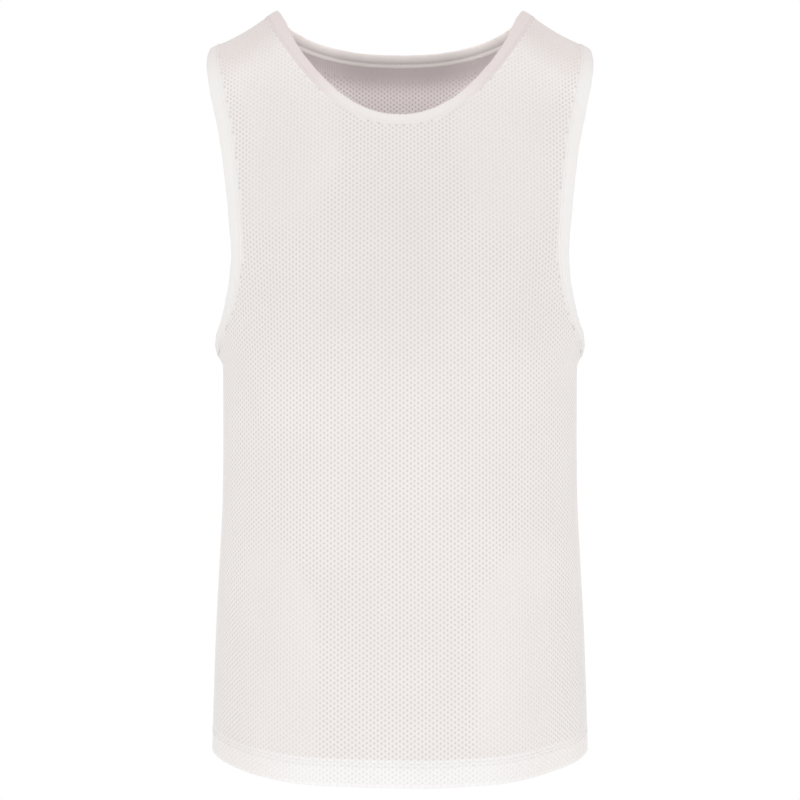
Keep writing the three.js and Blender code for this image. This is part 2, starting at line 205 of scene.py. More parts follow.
def cloth_point(panel, x, drop):
    """Middle of a panel's cloth at x and drop. Its folds fade out at the seams."""
    x, drop = np.broadcast_arrays(np.asarray(x, float), np.asarray(drop, float))
    root = np.sqrt(np.maximum(drop - shoulder_drop(x), 0))
    across = np.minimum(np.abs(x) / section_half_width(panel, drop), 1)
    share = (1 - across ** SECTION_SQUARENESS) ** (1 / side_turn(LENGTH - drop))
    rise = fold_height(FOLDS[panel], x, drop) + fold_height(CREASES[panel], x, drop)
    ripple = RIPPLE * np.sin(x / 19 + drop / 41) * np.sin(drop / 27 - x / 47)
    rise = (rise + ripple) * smooth(share / FOLD_FADE_SIDE) * smooth(root / FOLD_FADE_TOP)
    depth = np.maximum(depth_at_centre[panel](root) * share + rise, SEAM_GAP / 2)
    flare = ARMPIT_FLARE * smooth((ARMPIT_FLARE_DROP - drop) / ARMPIT_FLARE_REACH)
    side = -1 if panel == "front" else 1
    flared = x + np.sign(x) * flare * (1 - share) ** ARMPIT_FLARE_FADE
    return np.stack([flared, side * depth, NECK_POINT_HEIGHT - drop], -1)


def unit(v):
    return v / np.maximum(np.linalg.norm(v, axis=-1, keepdims=True), 1e-9)


def cloth_normal(panel, x, drop, step=0.1):
    x, drop = np.broadcast_arrays(np.asarray(x, float), np.asarray(drop, float))
    limit = np.maximum(panel_half_width(panel, drop), np.abs(x))
    clearance = np.maximum(drop - shoulder_drop(x), 0)
    aside = [np.clip(x + shift, -limit, limit) for shift in (-step, step)]
    left, right = (cloth_point(panel, a, shoulder_drop(a) + clearance) for a in aside)
    down = cloth_point(panel, x, drop + step) - cloth_point(panel, x, drop)
    return unit(np.cross(down, right - left)) * (1 if panel == "front" else -1)


# meshes

def add_piece(name, points, faces, material, places=None, seam_normals=None, shade=1.0,
              floors=(), floor_material=None, depth=0.0):
    """
    A mesh piece from points in millimetres. places are its points on the flat cloth, for the knit.
    shade is the light and shade painted into the cloth's colour at each point, and the hem's lighter
    double cloth. floors are the bottoms of the net's holes, darker by depth: painted shade for the inside
    seen through each hole.
    """
    faces = list(faces) + list(floors)
    shade = np.ones((len(points), 3)) * (shade if np.ndim(shade) == 2 else np.reshape(shade, (-1, 1)))
    mesh = bpy.data.meshes.new(name)
    sizes = np.array([len(f) for f in faces], np.int32)
    mesh.vertices.add(len(points))
    mesh.vertices.foreach_set("co", (np.asarray(points, float) / 1000).astype(np.float32).ravel())
    mesh.loops.add(int(sizes.sum()))
    mesh.loops.foreach_set("vertex_index", np.concatenate([np.asarray(f, np.int32) for f in faces]))
    mesh.polygons.add(len(sizes))
    mesh.polygons.foreach_set("loop_start", np.concatenate([[0], np.cumsum(sizes)[:-1]]).astype(np.int32))
    mesh.update(calc_edges=True)
    mesh.validate()
    mesh.shade_smooth()
    if places is not None:
        layer = mesh.attributes.new("cloth", "FLOAT_VECTOR", "POINT")
        flat = np.zeros((len(points), 3), np.float32)
        flat[:, : places.shape[1]] = places
        layer.data.foreach_set("vector", flat.ravel())
    layer = mesh.attributes.new("shade", "FLOAT_VECTOR", "POINT")
    layer.data.foreach_set("vector", shade.astype(np.float32).ravel())
    layer = mesh.attributes.new("depth", "FLOAT", "POINT")
    layer.data.foreach_set("value", np.broadcast_to(depth, len(points)).astype(np.float32))
    if seam_normals is not None:
        mesh.normals_split_custom_set_from_vertices(seam_normals)
    mesh.materials.append(material)
    if len(floors):
        mesh.materials.append(floor_material)
        chosen = np.zeros(len(faces), np.int32)
        chosen[len(faces) - len(floors):] = 1
        mesh.polygons.foreach_set("material_index", chosen)
    piece = bpy.data.objects.new(name, mesh)
    bpy.context.scene.collection.objects.link(piece)
    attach(piece, "root")
    return piece


def grid_faces(rows, columns, closed=False, first=0):
    """Quads of a grid of points, row by row; closed joins the last row to the first."""
    r = np.arange(rows if closed else rows - 1)
    c = np.arange(columns - 1)
    r, c = np.meshgrid(r, c, indexing="ij")
    n = (r + 1) % rows
    quads = np.stack([r * columns + c, n * columns + c, n * columns + c + 1, r * columns + c + 1], -1)
    return list(first + quads.reshape(-1, 4))


def line_length(points):
    """How far along a line each of its points is."""
    return np.concatenate([[0], np.cumsum(np.linalg.norm(np.diff(points, axis=0), axis=1))])


def resample(points, others, step, closed):
    """Points spaced evenly about step apart along a line, with other values carried along."""
    if closed:
        points = np.vstack([points, points[:1]])
        others = [np.vstack([o, o[:1]]) for o in others]
    along = line_length(points)
    count = max(int(round(along[-1] / step)), 2)
    at = np.linspace(0, along[-1], count + 1)[: -1 if closed else None]

    def pick(values):
        return np.stack([np.interp(at, along, column) for column in values.T], -1)

    return at, pick(points), [pick(o) for o in others]


def blur_loop(values, spread):
    """Gaussian smoothing round a closed loop, spread in stations."""
    reach = int(3 * spread)
    total, weights = 0, 0
    for shift in range(-reach, reach + 1):
        w = math.exp(-0.5 * (shift / spread) ** 2)
        total, weights = total + w * np.roll(values, shift, axis=0), weights + w
    return total / weights


# net cloth

PITCH_ACROSS, PITCH_UP = 3.235, 4.46
CELL_WAIST = (PITCH_ACROSS ** 2 - PITCH_UP ** 2 / 4) / (2 * PITCH_ACROSS)
HOLE_HALF_WIDTH, HOLE_HALF_HEIGHT = 0.88, 0.95
HOLE_CLEARANCE = 2.2
RIM_SINK = 0.34
# painted shade round the rim of each hole and painted light on the cloth between the holes
RIM_PAINTED_SHADE, STRAND_PAINTED_LIGHT = 0.955, 1.012
HOLE_SPREAD, HOLE_WANDER = 0.09, 0.12
MOVED, SLIVER = 0.05, 0.05  # how far an edge moves a point that is outside it, and a face too small
COLUMN_REACH = 82
ARC_STATIONS, PATH_STATIONS = 181, 620
PAST_TOP, PAST_HEM, PAST_SIDE = 30, 10, 60
LONGEST_SHARE = 1.12
COLUMNS = np.arange(-COLUMN_REACH, COLUMN_REACH + 1)
COLUMN_S = (COLUMNS[:, None] * PITCH_ACROSS + np.array([-CELL_WAIST, CELL_WAIST])).ravel()


class Cloth:
    """A panel's surface by its place on the flat cloth: S across from the centre, T up from the hem."""

    def __init__(self, panel):
        self.panel = panel
        self.drops = np.arange(-PAST_TOP, LENGTH + 1.0)
        bend = np.sin(np.linspace(0, np.pi / 2, ARC_STATIONS))
        width = section_half_width(panel, self.drops)
        self.x = width[:, None] * bend
        turn = side_turn(LENGTH - self.drops)[:, None]
        share = (1 - bend[None] ** SECTION_SQUARENESS) ** (1 / turn)
        depth = depth_at_centre[panel](np.sqrt(np.maximum(self.drops, 0)))[:, None] * share
        steps = np.hypot(np.diff(self.x, axis=1), np.diff(depth, axis=1))
        self.s = np.concatenate([np.zeros((len(self.drops), 1)), np.cumsum(steps, axis=1)], 1)
        limit = panel_half_width(panel, self.drops)
        self.s_limit = np.array([np.interp(a, x, s) for a, x, s in zip(limit, self.x, self.s)])
        self.paths = self.columns(COLUMN_S)

    def columns(self, s_values):
        """For each S: samples of drop, x and T down its path, and T at the panel's upper edge."""
        out = []
        for s in s_values:
            x_path = np.array([
                np.interp(abs(s), np.append(arc, arc[-1] + PAST_SIDE), np.append(x, x[-1] + PAST_SIDE))
                for arc, x in zip(self.s, self.x)
            ]) * (1 if s >= 0 else -1)
            top = np.interp(0, self.drops - shoulder_drop(x_path), self.drops)
            drop = top + np.linspace(0, math.sqrt(LENGTH - top), PATH_STATIONS) ** 2
            x = np.interp(drop, self.drops, x_path)
            point = cloth_point(self.panel, x, drop)
            length = line_length(point)
            t = length[-1] - length
            over = drop - neckline_drop(self.panel, x)
            cut = t[0] if over[0] >= -1e-6 else np.interp(0, over, t)
            drop = np.concatenate([[top - PAST_TOP], drop, [LENGTH + PAST_HEM]])
            x = np.concatenate([x[:1], x, x[-1:]])
            t = np.concatenate([[t[0] + PAST_TOP], t, [-PAST_HEM]])
            out.append((t[::-1], drop[::-1], x[::-1], cut))
        return out

    def side_margin(self, s, drop):
        return np.interp(drop, self.drops, self.s_limit) - np.abs(s)


cloths = {panel: Cloth(panel) for panel in ("front", "back")}
rng = np.random.default_rng(7)


def warm_shade(amount):
    """Painted shade: darkening by amount that takes a little less from red."""
    return 1 - np.asarray(amount)[..., None] * np.array([0.68, 1.13, 1.12])


def plain_tone(x, drop, t):
    return warm_shade(np.zeros(len(t))), np.ones(len(t))


def hem_light(x):
    """How much lighter the hem's double cloth is than the rest."""
    middle = 1 - smooth((np.abs(x) - 60) / 110)
    return 0.042 + middle[:, None] * np.array([0.034, 0.056, 0.09])


def outer_painted_shade_and_hem(x, drop, t):
    """
    The hem's double cloth is lighter, with faint holes under a row of darker ones. Light and shade are
    painted in too: the cloth is darker and redder on the shoulders, darker over the chest, down its
    middle and in a band low down, and lighter at the sides. The bottom of each hole is painted dark as
    shade for the inside seen through it, fainter at the shoulders, over the outer chest, under the arms
    and low down at the sides.
    """
    across = np.abs(x)
    hem = smooth((24.5 - t) / 2)
    chest = smooth((drop - 60) / 60) * (1 - smooth((drop - 250) / 150))
    centre = hump(x, 0, 50) * smooth((drop - 170) / 40) * (1 - smooth((drop - 330) / 60))
    low = 0.01 * smooth((drop - 520) / 60) - 0.01 * smooth((drop - 640) / 40)
    shoulder = 1 - smooth((drop - shoulder_drop(x) - 26) / 36)
    side = smooth((across - 120) / 50)
    # painted light and shade: darker over the chest, down its middle, low down and on the shoulders,
    # lighter at the sides
    plain = 0.034 * side - 0.038 * chest - 0.02 * centre
    shade = warm_shade(0.018 + low + 0.095 * shoulder) + plain[:, None] + hem[:, None] * hem_light(x)
    underarm = smooth((across - 142) / 16) * (1 - smooth(np.abs(drop - 345) / 48))
    outer_chest = smooth((across - 42 - 18 * smooth((drop - 150) / 60)) / 16)
    outer_chest = outer_chest * (1 - smooth((across - 150 + 22 * smooth((drop - 60) / 80)) / 18))
    outer_chest = outer_chest * (1 - smooth((drop - 205) / 40))
    low_sides = smooth((across - 100 + 36 * smooth((drop - 490) / 80)) / 12)
    low_sides = low_sides * (1 - smooth((across - 128) / 26)) * smooth((drop - 480) / 50)
    faint = np.maximum(outer_chest, low_sides)
    # how dark the bottom of each hole is painted, as shade for the inside seen through it
    depth = 0.35 + 0.72 * smooth((drop - 30) / 60)
    depth = depth * (1 - 0.5 * shoulder) * (1 - 0.6 * underarm) * (1 - 0.65 * faint) * (1 - 0.7 * hem)
    return shade, depth * (1 + 0.35 * hump(t, 26.2, 1.6))


def lining_painted_shade(x, drop, t):
    """Painted shade: the cloth inside the neck is darkest and redder beside its binding, and lighter
    towards the neck points. The bottoms of its holes are painted dark as shade.
    """
    below = (drop - neckline_drop("back", x))[:, None]
    lit = smooth((below - 9) / 24)
    shade = 0.6 + 0.44 * lit - 0.04 * (1 - smooth(below / 9))
    shade = shade * (1 + 0.18 * smooth((np.abs(x) - 40) / 45)[:, None])
    return shade * (1 - (1 - lit) * np.array([0, 0.03, 0.03])), np.full(len(t), 0.8)


def net(name, panel, half, looks, offset, shift=0.0, region=None, solid_above=None, tone=plain_tone):
    """
    Net cloth over half of a panel, all of it where half is 0, or a region: region(x, drop) brings a
    point into it. Each hole is a shallow pit, left out higher than solid_above under the upper edge.
    tone(x, drop, t) gives the light and shade painted into the cloth at a point and how dark the bottoms
    of its holes are painted, as shade for the inside seen through them.
    """
    cloth = cloths[panel]
    paths = cloth.paths
    rows = np.arange(-1, int(LENGTH * LONGEST_SHARE / PITCH_UP))
    odd = np.repeat(COLUMNS % 2, 2)
    t_all = (rows[None] + 0.5) * PITCH_UP + odd[:, None] * PITCH_UP / 2 + shift
    drop = np.stack([np.interp(t, p[0], p[1]) for t, p in zip(t_all, paths)])
    x = np.stack([np.interp(t, p[0], p[2]) for t, p in zip(t_all, paths)])
    cut = np.array([p[3] for p in paths])
    shape = (len(COLUMNS), 2, len(rows))
    x, drop = x.reshape(shape), drop.reshape(shape)
    s_grid = np.broadcast_to(COLUMN_S.reshape(len(COLUMNS), 2, 1), shape)
    t_grid = t_all.reshape(shape)

    def clamp(x, drop):
        drop = np.minimum(drop, LENGTH)
        limit = panel_half_width(panel, drop) + np.where(drop < ARMPIT_DROP - 4, 0.5, 0)
        x2 = np.clip(x, -limit, limit)
        top = neckline_drop(panel, x2)
        return x2, np.maximum(drop, np.where(np.abs(x2) < NECK_SEAM_X - 2, top - 0.5, top))

    x2, drop2 = (region or clamp)(x, drop)
    inside = (np.abs(x2 - x) < MOVED) & (np.abs(drop2 - drop) < MOVED)
    normal = cloth_normal(panel, x2, drop2)
    point = cloth_point(panel, x2, drop2) + normal * offset
    free = cloth_point(panel, x, np.maximum(drop, shoulder_drop(x))) + normal * offset

    # the six corners of each cell, anticlockwise from the right
    i, j = np.meshgrid(np.arange(1, len(COLUMNS) - 1), np.arange(1, len(rows) - 1), indexing="ij")
    lower = np.where((COLUMNS[i] % 2) == 0, j - 1, j)

    def corner(column, side, row):
        return (column * 2 + side) * len(rows) + row

    ring = np.stack([
        corner(i + 1, 0, lower), corner(i, 1, j), corner(i, 0, j),
        corner(i - 1, 1, lower), corner(i, 0, j - 1), corner(i, 1, j - 1),
    ], -1).reshape(-1, 6)
    flat_inside = inside.reshape(-1)
    keep = flat_inside[ring].any(1)
    column = COLUMNS[i].reshape(-1)
    if half:
        keep &= (column >= 0) if half > 0 else (column < 0)
    ring, column = ring[keep], column[keep]
    row = j.reshape(-1)[keep]
    centre_s = column * PITCH_ACROSS
    centre_t = rows[row] * PITCH_UP + (column % 2) * PITCH_UP / 2 + shift
    points, places = point.reshape(-1, 3), np.stack([s_grid.reshape(-1), t_grid.reshape(-1)], -1)
    frees, normals = free.reshape(-1, 3), normal.reshape(-1, 3)
    cell_corner = ring[:, 0]
    centre = frees[ring].mean(1)
    centre_drop = drop.reshape(-1)[ring].mean(1)
    across = (frees[ring[:, 0]] - frees[ring[:, 3]]) / (2 * (PITCH_ACROSS - CELL_WAIST))
    up = (frees[ring[:, 1]] + frees[ring[:, 2]] - frees[ring[:, 4]] - frees[ring[:, 5]]) / (2 * PITCH_UP)
    middle = unit(normals[ring].mean(1))

    # a hole needs room from each cut edge
    mid_cut = cut.reshape(len(COLUMNS), 2).mean(1)
    slope = np.gradient(mid_cut, PITCH_ACROSS)
    k = column + COLUMN_REACH
    over_top = (mid_cut[k] - centre_t) / np.sqrt(1 + slope[k] ** 2)
    beside = cloth.side_margin(centre_s, centre_drop)
    holed = (over_top > HOLE_CLEARANCE) & (beside > HOLE_CLEARANCE) & (centre_t > HOLE_CLEARANCE)
    if region:
        holed &= flat_inside[ring].all(1)
    if solid_above is not None:
        holed &= (mid_cut[k] - centre_t) > solid_above

    used = np.unique(ring)
    index = np.full(len(points), -1)
    index[used] = np.arange(len(used))
    ring = index[ring]
    points, places, normals = points[used], places[used], normals[used]
    angle = np.arange(6) * np.pi / 3
    size = 1 + HOLE_SPREAD * (rng.random((len(ring), 6)) - 0.5)
    wander = HOLE_WANDER * (rng.random((len(ring), 2)) - 0.5)
    ds = HOLE_HALF_WIDTH * np.cos(angle) * size + wander[:, :1]
    dt = HOLE_HALF_HEIGHT * np.sin(angle) / math.sin(np.pi / 3) * size + wander[:, 1:]
    rim = centre[:, None] + ds[..., None] * across[:, None] + dt[..., None] * up[:, None]
    rim = rim - middle[:, None] * RIM_SINK * (1 if offset >= 0 else -1)
    rim_place = np.stack([centre_s[:, None] + ds, centre_t[:, None] + dt], -1)
    holes = np.flatnonzero(holed)
    base = len(points)
    rim_index = base + np.arange(len(holes) * 6).reshape(-1, 6)
    following = (np.arange(6) + 1) % 6
    outer = ring[holes]
    quads = np.stack([outer, outer[:, following], rim_index[:, following], rim_index], -1).reshape(-1, 4)
    whole = ring[~holed]
    all_points = np.vstack([points, rim[holes].reshape(-1, 3)])
    # whole cells are clamped at the edges, so those that vanish are left out
    fan = all_points[whole]
    area = np.linalg.norm(np.cross(fan[:, 1:-1] - fan[:, :1], fan[:, 2:] - fan[:, :1]), axis=2).sum(1) / 2
    whole = whole[area > SLIVER]
    floors = rim_index
    if panel == "back":
        quads, whole, floors = quads[:, ::-1], whole[:, ::-1], floors[:, ::-1]
    all_places = np.vstack([places, rim_place[holes].reshape(-1, 2)])
    custom = None
    if half:
        custom = np.zeros((len(all_points), 3), np.float32)
        line = np.abs(places[:, 0] + PITCH_ACROSS / 2) < CELL_WAIST + 1
        custom[: len(points)][line] = normals[line]
    shade, depth = tone(
        np.concatenate([x.reshape(-1)[used], np.repeat(x.reshape(-1)[cell_corner][holes], 6)]),
        np.concatenate([drop.reshape(-1)[used], np.repeat(centre_drop[holes], 6)]),
        all_places[:, 1],
    )
    on_cell = np.arange(len(all_points)) < len(points)
    # painted light on the cells and painted shade on the hole rims
    shade = shade * np.where(on_cell, STRAND_PAINTED_LIGHT, RIM_PAINTED_SHADE)[:, None]
    piece = add_piece(name, all_points, list(quads) + list(whole), looks[0], all_places,
                      custom, shade, list(floors), looks[1], depth)
    return piece, len(ring) * PITCH_ACROSS * PITCH_UP / 1e6


# bindings

def drop_of(point):
    return NECK_POINT_HEIGHT - point[:, 2]


def lean_at_armhole(point):
    drop = drop_of(point)
    at_armpit = (1 - armhole_share(drop) / ARMHOLE_SHARE) ** 2
    at_shoulder = 1 - smooth((drop - SHOULDER_DROP) / ARMHOLE_BINDING / 3)
    return ARMPIT_LEAN * at_armpit - SHOULDER_LEAN * at_shoulder


def lean_at_neck(point):
    return -NECK_LEAN * (1 - smooth(drop_of(point) / NECK_BINDING / 4))


def neck_loop():
    """Round the neck's seam: points, normals of the cloth and points further in on it."""
    turn = np.linspace(-np.pi / 2, np.pi / 2, 700)[:-1]
    parts = []
    for panel, sweep in (("front", turn), ("back", -turn)):
        x = NECK_SEAM_X * np.sin(sweep)
        drop = neckline_drop(panel, x)
        parts.append((cloth_point(panel, x, drop), cloth_normal(panel, x, drop),
                      cloth_point(panel, x * 1.01, neckline_drop(panel, x * 1.01) + 3)))
    return [np.vstack(values) for values in zip(*parts)]


def armhole_loop(side):
    """The same round an armhole's seam."""
    top = float(shoulder_drop(SHOULDER_SEAM_X))
    share = (1 - np.cos(np.linspace(0, np.pi, 700)[:-1])) / 2
    parts = []
    for panel, run in (("front", share), ("back", 1 - share)):
        drop = top + (ARMPIT_DROP - top) * run
        x = side * panel_half_width(panel, np.minimum(drop, ARMPIT_DROP - 1e-6))
        inner = cloth_point(panel, x - side * 2, np.maximum(drop, shoulder_drop(x - side * 2)) + 2)
        parts.append((cloth_point(panel, x, drop), cloth_normal(panel, x, drop), inner))
    return [np.vstack(values) for values in zip(*parts)]


def binding_section(width):
    """Folded strip seen in section, as (reach from the seam, height off the cloth), from outside in."""
    outer = [(-1.2, 0.5), (-1.35, 0.74), (-1.15, 0.96), (-0.6, 1.04), (0.3, 0.96), (1.0, 1.02),
             (2.2, 1.2)]
    body = [(share * width, 1.26 + 0.12 * math.sin(math.pi * share)) for share in (0.36, 0.5, 0.64, 0.76)]
    edge = [(width - 1.3, 1.16), (width - 0.55, 0.86), (width - 0.12, 0.45), (width, 0.0),
            (width - 0.12, -0.5), (width - 0.55, -1.0), (width - 1.3, -1.38)]
    inner = [(share * width, -1.55) for share in (0.76, 0.6, 0.44, 0.3)]
    tuck = [(1.0, -1.45), (0.25, -1.15), (-0.35, -1.55), (-1.6, -1.85), (-3.1, -1.7), (-4.1, -1.1),
            (-4.4, 0.15)]
    return np.array(outer + body + edge + inner + tuck)


# How light the folded strip is painted at each point of its section: painted light over its folded
# edge, painted shade down its inner side and darkest in the groove by the seam. From the point INNER on
# it is the inner side, painted a little redder in its shade. OUTSIDE is a point in the middle of the
# outer side.
OUTSIDE, INNER = 9, 13
SECTION_SHADE = np.array([1] * 12 + [1.01, 1.03, 1.05, 1.06, 1.06, 1.06, 1.04, 0.98, 0.9, 0.82]
                         + [0.72, 0.6, 0.85, 0.93, 0.95, 0.92, 0.84])[:, None]
ON_INNER = np.arange(len(SECTION_SHADE))[:, None] >= INNER
SECTION_SHADE = SECTION_SHADE * np.where(ON_INNER, [1, 0.975, 0.965], 1)
BINDING_STEP = 1.4
WAVE, WAVE_COUNTS = 0.1, (7, 11, 17, 29, 43)
PUCKER, PUCKER_LENGTH = 0.07, 3.1


def wider_at_neck_point(point):
    drop, front = drop_of(point), smooth((6 - point[:, 1]) / 12)
    return (1.4 + front) * hump(drop, 0, 16) + 3.4 * front * hump(drop, 26, 20)


def narrower_at_shoulder(point):
    return -1.4 * (1 - smooth((drop_of(point) - SHOULDER_DROP) / 20))


def neck_painted_shade(point):
    """Painted shade: the neck binding is darkened a little all round, and more in front, down from the
    neck points.
    """
    drop, front = drop_of(point), smooth((26 - point[:, 1]) / 26)
    return warm_shade(0.05 + 0.105 * front * (1 - smooth((drop - 74) / 44)))


def corner_light(point):
    """The neck binding's inner side at the back is less shaded towards the neck points."""
    return 1 + 0.2 * smooth((np.abs(point[:, 0]) - 45) / 40) * smooth(point[:, 1] / 20)


def armhole_painted_shade(point):
    """Painted shade: the armhole bindings are darker at the shoulder and a little under the arm."""
    drop = drop_of(point)
    return warm_shade(0.075 * (1 - smooth((drop - 34) / 50)) + 0.02 * smooth((drop - 306) / 26))


def binding(name, loop, width, lean_at, material, seed, extra_width, tone, inner_light=None):
    """
    A strip folded over the edge that loop follows. lean_at, extra_width and tone give how far it leans
    out of the cloth, how much wider it is and the shade painted on it, at each point. inner_light is
    painted light for its inner side alone.
    """
    along, point, (normal, inside) = resample(loop[0], loop[1:], BINDING_STEP, True)
    normal = unit(blur_loop(normal, 4))
    point = blur_loop(point, 1.5)
    ahead = unit(np.roll(point, -1, axis=0) - np.roll(point, 1, axis=0))
    out = unit(np.cross(ahead, normal))
    if ((out * (inside - point)).sum(1) > 0).mean() > 0.5:
        out = -out
    out = unit(blur_loop(out, 3))
    square = np.cross(out, ahead)
    normal = unit(square) * np.sign((square * normal).sum(1, keepdims=True))
    lean = lean_at(point)
    section = binding_section(width)
    noise = np.random.default_rng(seed)
    waves = sum(
        noise.uniform(0.4, 1) * np.sin(2 * np.pi * along / along[-1] * n + noise.uniform(0, 6.3))
        for n in WAVE_COUNTS
    )[:, None]
    share = np.clip(section[:, 0] / width, 0, 1)[None]
    reach = section[None, :, 0] + (WAVE * waves + extra_width(point)[:, None]) * share
    pucker = PUCKER * np.sin(2 * np.pi * along / PUCKER_LENGTH)[:, None]
    pucker = pucker * hump(section[None, :, 0], 1.4, 1.2)
    height = section[None, :, 1] * (1 + WAVE / 2 * waves * share) + pucker * np.sign(section[None, :, 1])
    height = height + lean[:, None] * np.maximum(reach - SEAM_GAP, 0)
    points = point[:, None] + reach[..., None] * out[:, None] + height[..., None] * normal[:, None]
    rows, columns = reach.shape
    across = line_length(section)
    places = np.stack(np.broadcast_arrays(along[:, None], across[None]), -1)
    faces = np.array(grid_faces(rows, columns, closed=True))
    a, b, d = (points.reshape(-1, 3)[faces[:, n]] for n in (0, 1, 3))
    facing = np.cross(b - a, d - a)
    outside = faces[:, 0] % columns == OUTSIDE
    if (facing[outside] * normal[faces[outside, 0] // columns]).sum() < 0:
        faces = faces[:, ::-1]
    shade = SECTION_SHADE[None] * tone(point)[:, None]
    if inner_light:
        shade[:, INNER:] *= inner_light(point)[:, None, None]
    piece = add_piece(name, points.reshape(-1, 3), list(faces), material,
                      places.reshape(-1, 2), shade=shade.reshape(-1, 3))
    return piece, (point, normal, out)


# A stitch from end to end: station along it, thickness as a share, height over its line
STITCH = [(0, 0.25, -0.12), (1.6, 0.9, 0.1), (3.2, 1.0, 0.14), (4.8, 0.9, 0.1), (6.2, 0.25, -0.12)]
STITCH_LENGTH, STITCH_GAP, THREAD_RADIUS = 2.5, 0.75, 0.2
STATIONS, THREAD_SIDES = 8, 6


def stitches(name, lines, material):
    """Rows of short raised threads. lines are (points, normals, closed, the shade painted on the thread).
    """
    points, faces, shades = [], [], []
    rings, sides = len(STITCH), THREAD_SIDES
    station, thickness, lift = np.array(STITCH).T
    station = station.round().astype(int)
    angle = np.arange(sides) * 2 * np.pi / sides
    cos, sin = np.cos(angle)[None, :, None], np.sin(angle)[None, :, None]
    for line, normals, closed, light in lines:
        total = np.linalg.norm(np.diff(line, axis=0), axis=1).sum()
        count = int(total / (STITCH_LENGTH + STITCH_GAP))
        light = np.ones((len(line), 3)) * light
        _, mid, (up, light) = resample(line, [normals, light], total / count / STATIONS, closed)
        for start in np.arange(count) * STATIONS:
            i = (start + station) % len(mid)
            if not closed and start + STATIONS - 1 >= len(mid):
                continue
            p, n = mid[i], unit(up[i])
            run = unit(p[-1:] - p[:1])
            side = unit(np.cross(run, n))
            circle = cos * side[:, None] + sin * n[:, None]
            middle = (p + n * lift[:, None])[:, None]
            ring = middle + THREAD_RADIUS * thickness[:, None, None] * circle
            first = len(points) * rings * sides
            points.append(ring.reshape(-1, 3))
            shades.append(np.repeat(light[i], sides, axis=0))
            for r in range(rings - 1):
                for s in range(sides):
                    t = (s + 1) % sides
                    faces.append([first + r * sides + s, first + r * sides + t,
                                  first + (r + 1) * sides + t, first + (r + 1) * sides + s])
            faces.append([first + s for s in range(sides)][::-1])
            faces.append([first + (rings - 1) * sides + s for s in range(sides)])
    return add_piece(name, np.vstack(points), faces, material, shade=np.vstack(shades))


# materials

WAVE_SCALE = 0.314  # a wave texture's scale for bands that are 1 apart
KNIT_DISTANCE, THREAD_DISTANCE = 0.00012, 0.0001


def new_material(name, values):
    material = bpy.data.materials.new(name)
    material.use_nodes = True
    shader = material.node_tree.nodes["Principled BSDF"]
    for socket, value in values.items():
        shader.inputs[socket].default_value = value
    return material, material.node_tree, shader


def add_node(tree, kind, values=None, **settings):
    """A node with its settings, and the values of its sockets by their name or number."""
    node = tree.nodes.new("ShaderNode" + kind)
    for name, value in settings.items():
        setattr(node, name, value)
    for socket, value in (values or {}).items():
        node.inputs[socket].default_value = value
    return node


def noise(tree, vector, scale, detail):
    node = add_node(tree, "TexNoise", {"Scale": scale, "Detail": detail})
    tree.links.new(vector, node.inputs["Vector"])
    return node.outputs["Fac"]


def bands(tree, vector, direction, spacing, values):
    wave = add_node(tree, "TexWave", {"Scale": WAVE_SCALE / spacing, **values},
                    wave_type="BANDS", bands_direction=direction, wave_profile="SIN")
    tree.links.new(vector, wave.inputs["Vector"])
    return wave.outputs["Fac"]


def weigh_and_add(tree, value, weight, other):
    node = add_node(tree, "Math", {1: weight}, operation="MULTIPLY_ADD")
    tree.links.new(value, node.inputs[0])
    tree.links.new(other, node.inputs[2])
    return node.outputs[0]


def shaded_ramp(tree, share, dark, light, ends):
    """Colour from dark to light as share goes between its ends, times the light and shade painted in at
    each point.
    """
    ramp = add_node(tree, "ValToRGB")
    for stop, position, colour in zip(ramp.color_ramp.elements, ends, (dark, light)):
        stop.position, stop.color = position, (*colour, 1)
    tree.links.new(share, ramp.inputs["Fac"])
    shade = add_node(tree, "Attribute", attribute_name="shade")
    shaded = add_node(tree, "VectorMath", operation="MULTIPLY")
    tree.links.new(ramp.outputs["Color"], shaded.inputs[0])
    tree.links.new(shade.outputs["Vector"], shaded.inputs[1])
    return shaded.outputs["Vector"]


def raise_by(tree, shader, height, strength, distance):
    bump = add_node(tree, "Bump", {"Strength": strength, "Distance": distance})
    tree.links.new(height, bump.inputs["Height"])
    tree.links.new(bump.outputs["Normal"], shader.inputs["Normal"])


